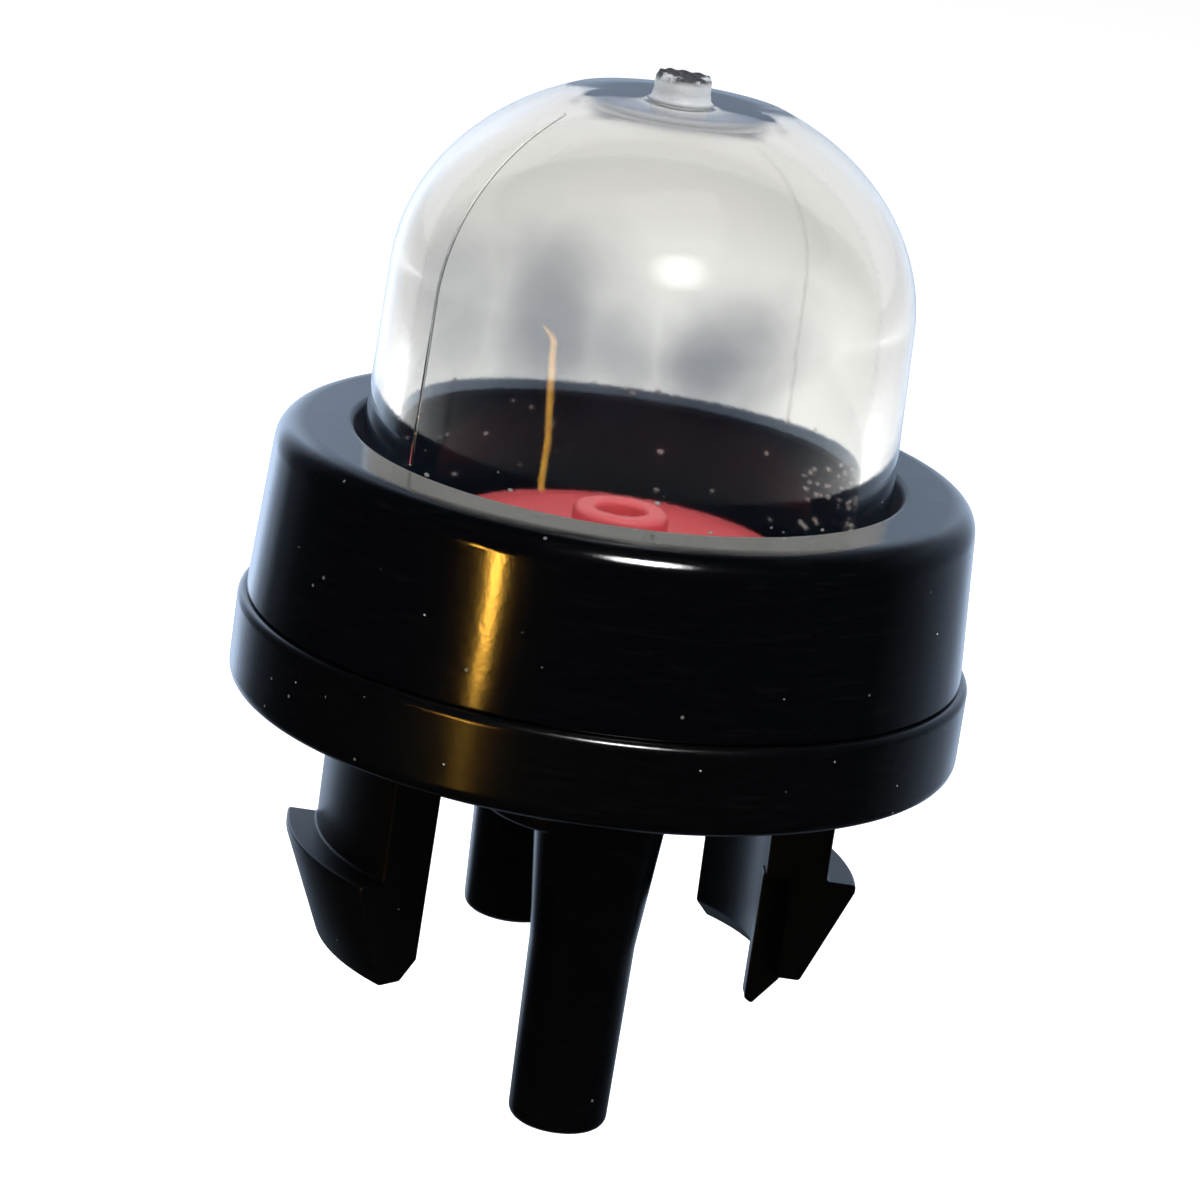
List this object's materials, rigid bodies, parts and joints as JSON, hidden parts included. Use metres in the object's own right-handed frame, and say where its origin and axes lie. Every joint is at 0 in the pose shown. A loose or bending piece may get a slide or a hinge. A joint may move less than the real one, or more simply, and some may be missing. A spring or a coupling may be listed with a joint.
{
  "type": "primer bulb",
  "caption": "Snap-in fuel primer with a clear squeeze dome, a black ring and flange, snap legs, hose nozzles and a red check valve inside.",
  "frame": {"origin": "on the dome's axis, in the plane of the flange's underside, which bears on the panel the bulb is pressed into", "axes": "+Z along the dome's axis towards its crown; the snap legs stand on the X axis and the hose nozzles on the Y axis, the long nozzle on the -Y side"},
  "size_m": [0.022, 0.022, 0.032],
  "materials": {
    "base_black": "gloss",
    "ring_black": "gloss",
    "bulb_clear": "clear gloss",
    "valve_red": "satin"
  },
  "bodies": {
    "root": {"base": "base_black", "retaining_ring": "ring_black", "bulb": "bulb_clear", "valve": "valve_red"}
  },
  "joints": []
}
